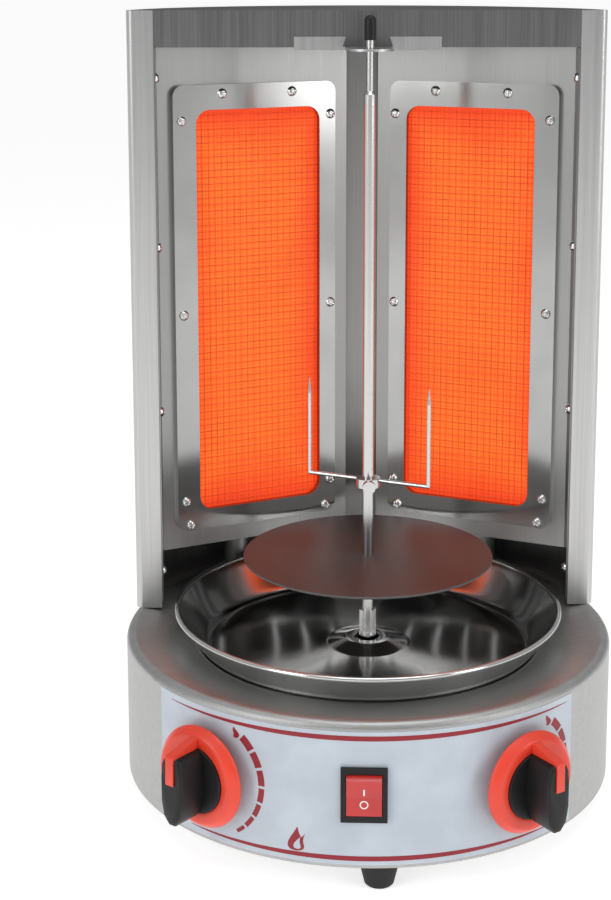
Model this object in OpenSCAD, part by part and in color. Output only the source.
// Small gas rotisserie oven: a round base, a half-round shell with two infrared burners,
// and a driven vertical spit over a drip pan. Front faces -Y, table at z = 0, spit on the Z axis.

/* [Body] */
// Outer radius of the base and the shell
body_r = 152; // [150:0.5:156]
// Height of the rubber feet
foot_h = 15; // [12:1:20]
// Height of the deck's outer edge above the table
deck_z = 101; // [98:1:104]
// Height of the shell's top above the table
top_z = 485; // [480:1:500]
// Distance of the posts' front face behind the spit
post_y = 28; // [26:0.5:30]
// Half the clear width between the posts
post_in = 132; // [131:0.5:133]
// Sheet thickness of the shell, base and covers
sheet = 1; // [0.8:0.1:1.2]

/* [Burners] */
// Angle of each burner panel from the front plane
vee_angle = 24.9; // [23:0.1:26]
// Height of one ceramic tile; each burner holds two
tile_h = 132; // [130:1:134]
// Width of a ceramic tile
tile_w = 92; // [90:1:94]
// Lowest edge of the tiles above the table
tile_z = 159; // [156:1:162]

/* [Controls] */
// Turn of the control panel about the spit, seen from above
panel_turn = -3.5; // [-5:0.5:5]
// Angle from the panel's middle to each knob
knob_angle = 36; // [33:1:40]
// Height of the knob axes above the table
knob_z = 57; // [55:1:59]
// Diameter of the knob skirt
knob_d = 60; // [54:1:60]

/* [Spit and pan] */
// Radius of the meat disc
disc_r = 78.5; // [70:0.5:80]
// Height of the meat disc's top face
disc_z = 146.5; // [145:0.5:150]
// Radius of the spit rod
rod_r = 3.6; // [3.5:0.1:3.8]
// Radius of the drip pan's rim
pan_r = 122; // [118:0.5:122]
// Height of the drip pan's rim
pan_z = 114.5; // [113:0.5:116]

/* [Hidden] */
$fn = 96;
wall = 0.8;                      // sheet of the liners, frames and pan
base_z = foot_h;                 // underside of the base
in_r = body_r - sheet;           // inner radius of base and shell
well_r = 110;                    // mouth of the pan well in the deck
well_z = 94;                     // height of the well's mouth
well_floor = 87.5;                // top face of the well's floor
left_a = panel_turn - knob_angle;
right_a = panel_turn + knob_angle;
running = 0.06;                  // radial clearance of a running fit

// burner panel, in its own frame: s runs from the post to the middle, +y faces the spit
liner_x = post_in - wall;
liner_y = 42;
liner_in = 10.4;
panel_l = (liner_x - liner_in) / cos(vee_angle);
vee_y = liner_y + panel_l * sin(vee_angle);   // depth of the inner folds
channel_y = vee_y + 14;          // back of the recess between the liners
liner_bottom = 135;
liner_top = top_z - sheet - 0.1;
tile_s = 22;                     // where the tiles start along the panel
stack_h = 2 * tile_h;
tile_t = 12;
tile_back = -13;
frame_s = 9;
frame_w = 114;
frame_z = 147;
frame_h = 291;
frame_up = 4;                    // how far the burner frame stands off the liner
box_depth = 28;
mixer_s = tile_s + tile_w / 2;
mixer_y = -38;
mixer_r = 8;
// screws on a burner frame, as [s, z]
frame_screw_at = [[14.7, 167], [14.7, 291], [14.7, 415.5], [42.7, 432], [91.5, 432],
                  [119.3, 416.5], [119.3, 291], [119.3, 169], [116, 151.5], [17.6, 151]];
liner_screw_z = [443, 336.5, 230, 123.5];
liner_screw_y = 36;
header_h = 22.6;
bracket_w = 91;
bracket_z = top_z - header_h - 1.6;
tongue_w = 29;
tongue_z = bracket_z + 1.5;
pin_r = 2.2;                     // thin top of the spit
pin_z = 437.5;                   // where the spit thins
cap_z = 468;
socket_top = 110;
socket_bottom = 88;
fork_z = 190.6;
fork_hub_h = 5.6;
gear_teeth = 48;
pinion_teeth = 12;
gear_r = gear_teeth / 2;
pinion_x = (gear_teeth + pinion_teeth) / 2 + 0.15;
gear_z = 56;
gear_h = 6;
case_z = 50;
case_h = 20;
foot_at = [0, 120, 240];
foot_in = 140;                   // radius of the circle of feet
label_half = 51.8;
switch_z = 59.5;
knob_back = body_r + 6.2;        // distance of the skirt's back from the spit axis
valve_end = 150.2;
jet_x = liner_x - mixer_s * cos(vee_angle) - mixer_y * sin(vee_angle);
jet_y = liner_y + mixer_s * sin(vee_angle) - mixer_y * cos(vee_angle);
jet_r = norm([jet_x, jet_y]);
jet_angle = 90 + atan2(jet_y, jet_x);
pipe_ring = 120;
pipe_z = 39;
manifold_ring = 138;
manifold_z = 29;
fitting_r = 4.2;                 // elbows and tees of the gas pipes
rocker_d = body_r + 0.4 + 2.2 - 4;      // distance of the rocker's pivot from the spit axis
rocker_half = 9.9;

// ---- helpers ----

// Puts children on the curved wall: x along it, y up, z out from the spit axis.
module at_wall(angle, z)
    rotate([0, 0, angle]) translate([0, 0, z]) rotate([90, 0, 0]) children();

// Puts children on the right burner panel, or mirrors them to the left one.
module at_panel(side)
    mirror([side < 0 ? 1 : 0, 0, 0])
        translate([liner_x, liner_y, 0]) rotate([0, 0, 180 - vee_angle]) children();

// Rounded rectangle from the corner [0, 0].
module round_rect(w, h, r) {
    translate([r, 0]) square([w - 2 * r, h]);
    translate([0, r]) square([w, h - 2 * r]);
    for (x = [r, w - r], y = [r, h - r]) translate([x, y]) circle(r);
}

// Rounded plate on a burner panel, from depth y0 to y1.
module panel_plate(s, z, w, h, r, y0, y1)
    translate([s, y1, z]) rotate([90, 0, 0]) linear_extrude(y1 - y0) round_rect(w, h, r);

// Pan-head screw along +Z, the head's seat at z = 0.
module pan_screw(head_r, head_h, shank_r, shank_l) {
    difference() {
        rotate_extrude($fn = 32) intersection() {
            translate([0, head_h - head_r * 1.6]) circle(head_r * 1.6, $fn = 64);
            square([head_r, head_h]);
        }
        for (a = [0, 90]) rotate([0, 0, a + 20])
            translate([-head_r * 0.6, -head_r * 0.13, head_h * 0.45])
                cube([head_r * 1.2, head_r * 0.26, head_h]);
    }
    translate([0, 0, -shank_l]) cylinder(r = shank_r, h = shank_l + 0.01, $fn = 24);
}

// D outline of the shell: round at the back, flat and rounded off at the posts.
module shell_outline(r, y, corner) {
    c_x = sqrt(pow(r - corner, 2) - pow(y + corner, 2));
    difference() {
        circle(r, $fn = 180);
        translate([-r - 1, -r - 1]) square([2 * r + 2, r + 1 + y + corner]);
    }
    translate([-c_x, y]) square([2 * c_x, corner + 0.01]);
    for (m = [-1, 1]) translate([m * c_x, y + corner]) circle(corner);
}

// ---- base ----

module base_wall() color("silver") difference() {
    union() {
        translate([0, 0, base_z + sheet])
            rotate_extrude($fn = 180) translate([in_r, 0]) square([sheet, deck_z - base_z - 5 - sheet]);
        translate([0, 0, base_z + sheet])
            rotate_extrude($fn = 180) translate([in_r - 12, 0]) square([12.01, sheet]);
    }
    for (a = [left_a, right_a]) at_wall(a, knob_z) {
        translate([0, 0, 140]) cylinder(r = 5.5, h = 20);
        for (x = [-1, 1]) translate([x * 10.5, 0, 140]) cylinder(r = 1.6, h = 20, $fn = 24);
    }
    at_wall(panel_turn, switch_z) translate([-11.5, -14.2, 140]) cube([23, 28.4, 20]);
    at_wall(180, 29) translate([0, 0, 140]) cylinder(r = 7, h = 20);
    for (a = [150 : 6 : 174]) at_wall(a + 42, 60) translate([-1.5, -12, 140]) cube([3, 24, 20]);
    for (a = foot_at) rotate([0, 0, a]) translate([0, -foot_in, 0]) cylinder(r = 2.2, h = 30, $fn = 24);
}

// Deck: rounded shoulder, shallow dish, and the well that holds the pan.
module base_deck() color("gray") difference() {
    union() {
        rotate_extrude($fn = 180) intersection() {
            difference() {
                translate([body_r - 5, deck_z - 5]) circle(5);
                translate([body_r - 5, deck_z - 5]) circle(5 - sheet);
            }
            translate([body_r - 5.5, deck_z - 5]) square(6);
        }
        rotate_extrude($fn = 180)
            polygon([[body_r - 5, deck_z], [body_r - 5, deck_z - sheet],
                [well_r - 0.1, well_z - sheet], [well_r - 1.2, well_z - sheet],
                [well_r - 1.2, well_floor - sheet], [13, well_floor - sheet], [13, well_floor],
                [well_r - 2.3, well_floor], [well_r - 2.3, well_z - 0.6],
                [well_r - 1.6, well_z], [well_r, well_z]]);
    }
    for (side = [-1, 1]) at_panel(side)
        translate([mixer_s, mixer_y, 80]) cylinder(r = mixer_r + 1, h = 40);
}

module base_bottom() color("silver") difference() {
    translate([0, 0, base_z]) cylinder(r = body_r, h = sheet, $fn = 180);
    for (a = foot_at) rotate([0, 0, a]) translate([0, -foot_in, 0]) cylinder(r = 2.2, h = 30, $fn = 24);
    for (ring = [70, 90], a = [0 : 20 : 340]) rotate([0, 0, a])
        translate([ring, -2, base_z - 1]) cube([14, 4, sheet + 2]);
}

module control_label() color("lightsteelblue") difference() {
    rotate([0, 0, panel_turn - 90 - label_half]) translate([0, 0, 17])
        rotate_extrude(angle = 2 * label_half, $fn = 180) translate([body_r, 0]) square([0.4, 79]);
    for (a = [left_a, right_a]) at_wall(a, knob_z) translate([0, 0, 140]) cylinder(r = 13.5, h = 20);
    at_wall(panel_turn, switch_z) translate([-11.6, -14.6, 140]) cube([23.2, 29.2, 20]);
}

module feet() color("black") for (a = foot_at) rotate([0, 0, a]) translate([0, -foot_in, 0])
    difference() {
        rotate_extrude($fn = 64) polygon([[0, 0], [7.5, 0], [8.5, 1], [11.9, foot_h], [0, foot_h]]);
        translate([0, 0, -1]) cylinder(r = 4.5, h = 7);
        translate([0, 0, -1]) cylinder(r = 2.1, h = 30, $fn = 24);
    }

module foot_screws() color("silver") for (a = foot_at) rotate([0, 0, a])
    translate([0, -foot_in, 6]) mirror([0, 0, 1]) pan_screw(4, 2.6, 2, 16);

// ---- shell ----

module rear_shell() color("silver") difference() {
    union() {
        translate([0, 0, deck_z]) linear_extrude(top_z - deck_z) difference() {
            shell_outline(body_r, post_y, 4);
            shell_outline(in_r, post_y + sheet, 3);
            translate([-post_in, 0]) square([2 * post_in, liner_y]);
        }
        for (m = [0, 1]) mirror([m, 0, 0]) translate([post_in, post_y, deck_z])
            cube([sheet, 16, liner_top - deck_z]);
        translate([0, 0, deck_z]) rotate_extrude(angle = 150, start = 15, $fn = 180)
            translate([in_r - 6.5, 0]) square([6.51, sheet]);
    }
    for (a = [140 : 8 : 220], z = [128, 380]) at_wall(a, z) translate([-1.5, 0, 140]) cube([3, 40, 20]);
    for (x = [-1, 1], z = liner_screw_z) translate([x * post_in, liner_screw_y, z])
        rotate([0, 90, 0]) cylinder(r = 1.6, h = 6, center = true, $fn = 24);
}

module top_cover() color("dimgray") {
    translate([0, 0, top_z - sheet]) linear_extrude(sheet) shell_outline(in_r - 0.05, post_y + sheet, 3);
    translate([0, 0, top_z - 10]) rotate_extrude(angle = 150, start = 15, $fn = 180)
        translate([in_r - 1.05, 0]) square([1, 9.01]);
}

module header_fascia() color("darkgray") {
    translate([-post_in, post_y, top_z - header_h]) cube([2 * post_in, sheet, header_h]);
    translate([-post_in, post_y, top_z - header_h]) cube([2 * post_in, 10, sheet]);
}

module spit_bracket() color("lightgray") difference() {
    union() {
        for (m = [0, 1]) mirror([m, 0, 0]) translate([0, post_y, bracket_z]) rotate([90, 0, 0])
            linear_extrude(sheet) polygon([[0, 0], [bracket_w / 2, 0], [bracket_w / 2, 8.2],
                [tongue_w / 2 - 1, 8.2], [tongue_w / 2 + 1, 2.2], [0, 2.2]]);
        translate([0, 0, tongue_z - 0.8]) linear_extrude(1.5) {
            translate([-tongue_w / 2, 5]) square([tongue_w, post_y - 5]);
            translate([0, 5]) intersection() {
                circle(tongue_w / 2);
                translate([-tongue_w / 2, -tongue_w / 2]) square([tongue_w, tongue_w / 2]);
            }
        }
    }
    translate([0, 0, tongue_z - 5]) cylinder(r = pin_r + running, h = 10);
}

// ---- liners and burners ----

// Folded edge of a liner as seen from above: front flange, slanted panel, edge of the recess.
module liner_profile() {
    back = wall / cos(vee_angle);
    slope = tan(vee_angle);
    polygon([[liner_x, 30.5], [liner_x, liner_y], [liner_in, vee_y], [liner_in, channel_y],
        [liner_in + wall, channel_y], [liner_in + wall, vee_y - wall * slope + back],
        [liner_x + wall, liner_y - wall * slope + back], [liner_x + wall, 30.5]]);
}

module liner(side) color("gainsboro") difference() {
    mirror([side < 0 ? 1 : 0, 0, 0]) union() {
        translate([0, 0, liner_bottom]) linear_extrude(liner_top - liner_bottom) liner_profile();
        translate([liner_x, 30.5, deck_z + 3]) cube([wall, liner_y - 30.5, liner_bottom - deck_z - 2]);
    }
    at_panel(side) {
        panel_plate(tile_s - 3, tile_z - 3, tile_w + 6, stack_h + 6, 3, -5, 5);
        for (p = frame_screw_at) translate([p[0], 0, p[1]])
            rotate([90, 0, 0]) cylinder(r = 1.6, h = 6, center = true, $fn = 24);
    }
    for (z = liner_screw_z) translate([side * liner_x, liner_screw_y, z])
        rotate([0, 90, 0]) cylinder(r = 1.6, h = 6, center = true, $fn = 24);
    // room for the header's bottom fold
    translate([-post_in, post_y, top_z - header_h - 0.5]) cube([2 * post_in, 10.3, sheet + 1]);
}

module centre_channel() color("dimgray")
    translate([-liner_in - 3, channel_y, liner_bottom])
        cube([2 * liner_in + 6, wall, liner_top - liner_bottom]);

module liner_screws() color("lightgray") for (side = [-1, 1], z = liner_screw_z)
    translate([side * liner_x, liner_screw_y, z]) rotate([0, -side * 90, 0])
        pan_screw(3.4, 2.2, 1.5, 6);

// Pressed frame: a raised face with a skirt outside and a lip turned back round the tiles.
module burner_frame(side) color("gainsboro") at_panel(side) difference() {
    panel_plate(frame_s, frame_z, frame_w, frame_h, 7, 0, frame_up);
    difference() {
        panel_plate(frame_s + wall, frame_z + wall, frame_w - 2 * wall, frame_h - 2 * wall, 6.2,
            -1, frame_up - wall);
        panel_plate(tile_s + 1.7, tile_z + 0.2, tile_w - 3.4, stack_h - 0.4, 10, -2, frame_up);
    }
    panel_plate(tile_s + 2.5, tile_z + 1, tile_w - 5, stack_h - 2, 9.2, -3, frame_up + 1);
    for (p = frame_screw_at) translate([p[0], 2, p[1]])
        rotate([90, 0, 0]) cylinder(r = 1.6, h = 6, center = true, $fn = 24);
}

module frame_screws(side) color("lightgray") at_panel(side) for (p = frame_screw_at)
    translate([p[0], frame_up, p[1]]) rotate([-90, 0, 0]) pan_screw(3.3, 2.2, 1.5, 9);

// The gauze in front of the tiles, as one thin sheet.
module burner_mesh(side) color("orangered") at_panel(side)
    panel_plate(tile_s, tile_z, tile_w, stack_h, 1, -0.9, -0.3);

module burner_tiles(side) color("darkorange") at_panel(side) for (row = [0, 1])
    translate([tile_s, tile_back, tile_z + row * tile_h + 0.05]) cube([tile_w, tile_t - 0.05, tile_h - 0.1]);

module burner_box(side) color("silver") at_panel(side) difference() {
    union() {
        translate([tile_s - 1.1, -box_depth - wall, tile_z - 1.1])
            cube([tile_w + 2.2, box_depth, stack_h + 2.2]);
        panel_plate(11.5, 148, 111, 289, 4, -wall - 1.2, -wall);
    }
    translate([tile_s - 0.1, -box_depth, tile_z - 0.1]) cube([tile_w + 0.2, box_depth + 5, stack_h + 0.2]);
    translate([mixer_s, -box_depth, 172]) rotate([90, 0, 0]) cylinder(r = 5, h = 6, center = true);
    for (p = frame_screw_at) translate([p[0], 0, p[1]])
        rotate([90, 0, 0]) cylinder(r = 1.6, h = 6, center = true, $fn = 24);
}

module mixer_tube(side) color("silver") at_panel(side) difference() {
    union() {
        translate([mixer_s, mixer_y, 62]) cylinder(r = mixer_r, h = 120);
        translate([mixer_s, -box_depth - wall, 172]) rotate([90, 0, 0])
            cylinder(r = 6, h = -mixer_y - box_depth - wall);
    }
    translate([mixer_s, mixer_y, 61]) cylinder(r = mixer_r - 1, h = 120);
    translate([mixer_s, -box_depth, 172]) rotate([90, 0, 0]) cylinder(r = 5, h = -mixer_y - box_depth);
    for (x = [-1, 1]) translate([mixer_s + x * mixer_r, mixer_y, 74]) cube([6, 6, 10], center = true);
}

module gas_jets() color("goldenrod") for (side = [-1, 1]) at_panel(side)
    translate([mixer_s, mixer_y, 50]) difference() {
        union() {
            cylinder(r = 6.9, h = 18);
            cylinder(r = 8, h = 10, $fn = 6);
        }
        translate([0, 0, 4]) cylinder(r = 0.6, h = 20, $fn = 24);
        translate([0, 0, -1]) cylinder(r = 3, h = 12);
    }

// ---- gas line, all inside the base ----

module gas_pipe(side, valve_angle) color("peru") {
    sweep = side * (side * jet_angle - valve_angle);
    translate([0, 0, pipe_z]) rotate([0, 0, -90 + min(valve_angle, side * jet_angle)])
        rotate_extrude(angle = sweep) translate([pipe_ring, 0]) circle(3, $fn = 32);
    rotate([0, 0, valve_angle]) translate([0, -pipe_ring, pipe_z - fitting_r])
        cylinder(r = fitting_r, h = knob_z - 14 - pipe_z + fitting_r, $fn = 32);
    rotate([0, 0, side * jet_angle]) {
        translate([0, -pipe_ring, pipe_z - fitting_r]) cylinder(r = fitting_r, h = 2 * fitting_r, $fn = 32);
        translate([0, -pipe_ring, pipe_z]) rotate([90, 0, 0])
            cylinder(r = 3, h = jet_r - pipe_ring, $fn = 32);
        translate([0, -jet_r, pipe_z - fitting_r]) cylinder(r = 4, h = 50 - pipe_z + fitting_r, $fn = 32);
    }
}

module gas_manifold() color("silver") {
    translate([0, 0, manifold_z]) rotate([0, 0, -90 + right_a])
        rotate_extrude(angle = 360 - right_a + left_a) translate([manifold_ring, 0]) circle(5, $fn = 32);
    for (a = [left_a, right_a]) rotate([0, 0, a]) translate([0, -manifold_ring, manifold_z - 6.5])
        cylinder(r = 6, h = knob_z - 14 - manifold_z + 6.5, $fn = 32);
}

module gas_inlet() color("goldenrod") at_wall(180, manifold_z) {
    translate([0, 0, manifold_ring + 5]) cylinder(r = 6.5, h = 32);
    translate([0, 0, body_r + 0.1]) cylinder(r = 11, h = 8, $fn = 6);
}

// ---- valves and knobs ----

module valve_body(angle) color("khaki") at_wall(angle, knob_z) difference() {
    translate([-14, -14, 112]) cube([28, 28, valve_end - 112]);
    translate([0, 0, 118]) cylinder(r = 6 + running, h = valve_end - 118.7);
    translate([0, 0, 145]) cylinder(r = 3.4, h = 10);
    for (d = [pipe_ring, manifold_ring]) translate([0, -15, d]) rotate([-90, 0, 0])
        cylinder(r = 2, h = 12, $fn = 24);
    for (x = [-1, 1]) translate([x * 10.5, 0, 130]) cylinder(r = 1.5, h = 30, $fn = 24);
}

module valve_plug(angle) color("gold") at_wall(angle, knob_z) difference() {
    translate([0, 0, 118.4]) cylinder(r = 6, h = 21.6);
    cylinder(r = 3 + running, h = 200);
    translate([0, 0, pipe_ring + 2]) rotate([90, 0, 0]) cylinder(r = 1.2, h = 20, $fn = 24);
}

module spindle(angle) color("goldenrod") at_wall(angle, knob_z) {
    translate([0, 0, 123]) cylinder(r = 3, h = 49);
    translate([0, 0, 147]) cylinder(r = 5.5, h = 2.2);
}

// Return spring behind the spindle's collar, as a stack of turns.
module knob_spring(angle) color("silver") at_wall(angle, knob_z)
    for (turn = [0 : 4]) translate([0, 0, 140.9 + turn * 1.35])
        rotate_extrude() translate([4.5, 0]) circle(0.5, $fn = 16);

module knob_skirt(angle) color("orangered") at_wall(angle, knob_z) translate([0, 0, knob_back])
    difference() {
        union() {
            rotate_extrude() polygon([[3, 0], [knob_d / 2, 0], [knob_d / 2, 1.5], [knob_d / 2 - 4, 6],
                [19.8, 6], [19.8, 3], [3, 3]]);
            translate([-2.8, 0, 0]) rotate([90, 0, 90]) linear_extrude(5.6)
                polygon([[19.85, 4], [26, 4], [25, 7], [20.3, 26.5], [6, 27.2], [6, 26], [19.85, 26]]);
        }
    }

module knob_grip(angle) color("black") at_wall(angle, knob_z) translate([0, 0, knob_back])
    difference() {
        union() {
            translate([0, 0, 3]) cylinder(r = 19.75, h = 4);
            translate([0, 0, 7]) linear_extrude(19)
                polygon([[-7.5, -14], [0, -23], [7.5, -14], [7.5, 15], [4.5, 19.8],
                    [-4.5, 19.8], [-7.5, 15]]);
        }
        translate([0, 0, -1]) cylinder(r = 3, h = 172 - knob_back + 1);
    }

module valve_screws() color("lightgray") for (a = [left_a, right_a], x = [-1, 1])
    at_wall(a, knob_z) translate([x * 10.5, 0, body_r]) pan_screw(2.8, 1.6, 1.45, 12);

// ---- switch ----

module switch_housing() color("black") at_wall(panel_turn, switch_z) {
    difference() {
        union() {
            translate([-13.1, -16, body_r + 0.4]) cube([26.2, 32, 2.2]);
            translate([-11.2, -13.9, 126]) cube([22.4, 27.8, body_r + 0.41 - 126]);
        }
        translate([0, 0, rocker_d]) rotate([0, 90, 0])
            cylinder(r = 13, h = 2 * rocker_half + 0.6, center = true);
    }
    translate([0, 0, rocker_d]) rotate([0, 90, 0])
        cylinder(r = 1.5, h = 2 * rocker_half + 0.7, center = true, $fn = 32);
    for (y = [-8, 8]) translate([-3, y - 0.4, 118]) cube([6, 0.8, 8.01]);
}

module rocker() color("red") at_wall(panel_turn, switch_z) translate([-rocker_half, 0, rocker_d])
    rotate([90, 0, 90]) linear_extrude(2 * rocker_half) difference() {
        intersection() {
            circle(12.7);
            polygon([[-14, -3], [14, -3], [14, 8.5], [-1, 4.2], [-14, 4.2]]);
        }
        circle(1.5 + running, $fn = 32);
    }

// ---- drive ----

// Gear outline with straight-sided teeth, one centred on +X.
function gear_points(n, r) = [for (i = [0 : n - 1], k = [[-1.0, -1.25], [-0.35, 1], [0.35, 1], [1.0, -1.25]])
    let (a = 360 * i / n + k[0] / (r + k[1]) * 180 / PI) (r + k[1]) * [cos(a), sin(a)]];

module motor_can() color("silver") translate([pinion_x, 0, 24]) difference() {
    cylinder(r = 21, h = case_z - 24);
    translate([0, 0, 12]) cylinder(r = 2 + running, h = 40);
}

module gearbox_case() color("gray") difference() {
    translate([-28, -28, case_z]) cube([76, 56, case_h - 2]);
    translate([-26.5, -26.5, case_z + 3]) cube([73, 53, case_h]);
    translate([0, 0, case_z + 1]) cylinder(r = 4 + running, h = 5);
    translate([pinion_x, 0, case_z - 1]) cylinder(r = 2 + running, h = 8);
}

module gearbox_lid() color("gray") difference() {
    union() {
        translate([-28, -28, case_z + case_h - 2]) cube([76, 56, 2]);
        translate([0, 0, case_z + case_h]) cylinder(r = 9, h = 17.6);
    }
    translate([0, 0, case_z]) cylinder(r = 4 + running, h = 50);
}

module motor_standoffs() color("silver") for (x = [-22, 42], y = [-22, 22])
    translate([x, y, case_z + case_h]) cylinder(r = 4, h = well_floor - sheet - case_z - case_h, $fn = 6);

module motor_pinion() color("goldenrod") translate([pinion_x, 0, 0]) {
    translate([0, 0, gear_z - 1]) rotate([0, 0, 180 / pinion_teeth]) linear_extrude(gear_h + 2)
        polygon(gear_points(pinion_teeth, pinion_teeth / 2));
    translate([0, 0, 38]) cylinder(r = 2, h = gear_z + gear_h + 3 - 38, $fn = 32);
}

module output_gear() color("khaki") translate([0, 0, gear_z]) linear_extrude(gear_h) difference() {
    polygon(gear_points(gear_teeth, gear_r));
    circle(4);
}

module drive_shaft() color("lightgray") translate([0, 0, case_z + 1.2])
    cylinder(r = 4, h = socket_bottom - case_z - 1.2);

module drive_socket() color("gainsboro") difference() {
    translate([0, 0, socket_bottom]) cylinder(r = 5.2, h = socket_top - socket_bottom);
    translate([0, 0, 94.5]) cylinder(r = rod_r + running, h = 20);
    for (a = [0, 90]) rotate([0, 0, a]) translate([-10, -1.2, 102]) cube([20, 2.4, 20]);
    for (a = [22.5 : 45 : 359]) rotate([0, 0, a]) translate([5.7, 0, socket_bottom - 1])
        cylinder(r = 0.9, h = 30, $fn = 24);
}

// ---- spit ----

module spit_rod() color("lightgray") {
    translate([0, 0, 95]) cylinder(r = rod_r, h = pin_z - 95 - 2);
    translate([0, 0, pin_z - 2]) cylinder(r1 = rod_r, r2 = pin_r, h = 2);
    translate([0, 0, pin_z]) cylinder(r = pin_r, h = 42);
    translate([0, 0, 104]) rotate([0, 90, 0]) cylinder(r = 1.1, h = 9, center = true, $fn = 32);
}

module spit_cap() color("black") translate([0, 0, cap_z]) rotate_extrude() difference() {
    union() {
        square([3.6, 11.5]);
        intersection() {
            translate([0, 11.5]) circle(3.6);
            square([4, 16]);
        }
    }
    square([pin_r, pin_z + 42 - cap_z]);
}

module meat_disc() color("gray") difference() {
    translate([0, 0, disc_z - 1.5]) cylinder(r = disc_r, h = 1.5, $fn = 180);
    cylinder(r = rod_r, h = 200);
}

module poultry_fork() color("lightgray") translate([0, 0, fork_z]) difference() {
    union() {
        cylinder(r = 7.6, h = fork_hub_h);
        rotate([0, 0, -25]) {
            translate([0, 0, fork_hub_h - 1.3]) rotate([0, 90, 0])
                cylinder(r = 1.25, h = 80, center = true, $fn = 24);
            for (x = [-1, 1]) translate([x * 40, 0, fork_hub_h - 1.3]) {
                sphere(1.25, $fn = 24);
                cylinder(r = 1.25, h = 52, $fn = 24);
                translate([0, 0, 52]) cylinder(r1 = 1.25, r2 = 0.2, h = 10, $fn = 24);
            }
        }
    }
    translate([0, 0, -1]) cylinder(r = rod_r + running, h = 20);
    translate([0, 0, fork_hub_h / 2 - 0.4]) rotate([90, 0, 0]) cylinder(r = 1.6, h = 20, $fn = 24);
}

module fork_screw() color("silver") translate([0, 0, fork_z + fork_hub_h / 2 - 0.4]) rotate([90, 0, 0]) {
    translate([0, 0, rod_r + 0.2]) cylinder(r = 1.5, h = 8, $fn = 24);
    translate([0, 0, 8.2]) cylinder(r = 4, h = 5, $fn = 12);
}

// Pan: a conical dish with a rolled rim and a raised hub round the drive socket.
module drip_pan() color("silver") union() {
    rotate_extrude($fn = 180) translate([pan_r - 1.6, pan_z - 1.6]) circle(1.6, $fn = 32);
    rotate_extrude($fn = 180) polygon([[pan_r - 1.6, pan_z - 0.9], [pan_r - 1.6, pan_z - 2.4],
        [well_r - 3.6, 92.4], [well_r - 8, well_floor], [25.6, well_floor], [14.4, 90.9], [7.7, 90.9],
        [7.7, 91.7], [14.6, 91.7], [25.8, well_floor + wall], [well_r - 8.6, well_floor + wall],
        [well_r - 4.6, 92.8]]);
}

base_wall();
base_deck();
base_bottom();
control_label();
feet();
foot_screws();
rear_shell();
top_cover();
header_fascia();
spit_bracket();
liner(-1);  // left_liner
liner(1);  // right_liner
centre_channel();
liner_screws();
burner_frame(-1);  // left_burner_frame
burner_frame(1);  // right_burner_frame
frame_screws(-1);  // left_frame_screws
frame_screws(1);  // right_frame_screws
burner_mesh(-1);  // left_burner_mesh
burner_mesh(1);  // right_burner_mesh
burner_tiles(-1);  // left_burner_tiles
burner_tiles(1);  // right_burner_tiles
burner_box(-1);  // left_burner_box
burner_box(1);  // right_burner_box
mixer_tube(-1);  // left_mixer_tube
mixer_tube(1);  // right_mixer_tube
gas_jets();
gas_pipe(-1, left_a);  // left_gas_pipe
gas_pipe(1, right_a);  // right_gas_pipe
gas_manifold();
gas_inlet();
valve_body(left_a);  // left_valve_body
valve_body(right_a);  // right_valve_body
valve_plug(left_a);  // left_valve_plug
valve_plug(right_a);  // right_valve_plug
spindle(left_a);  // left_spindle
spindle(right_a);  // right_spindle
knob_spring(left_a);  // left_knob_spring
knob_spring(right_a);  // right_knob_spring
knob_skirt(left_a);  // left_knob_skirt
knob_skirt(right_a);  // right_knob_skirt
knob_grip(left_a);  // left_knob_grip
knob_grip(right_a);  // right_knob_grip
valve_screws();
switch_housing();
rocker();
motor_can();
gearbox_case();
gearbox_lid();
motor_standoffs();
motor_pinion();
output_gear();
drive_shaft();
drive_socket();
spit_rod();
spit_cap();
meat_disc();
poultry_fork();
fork_screw();
drip_pan();
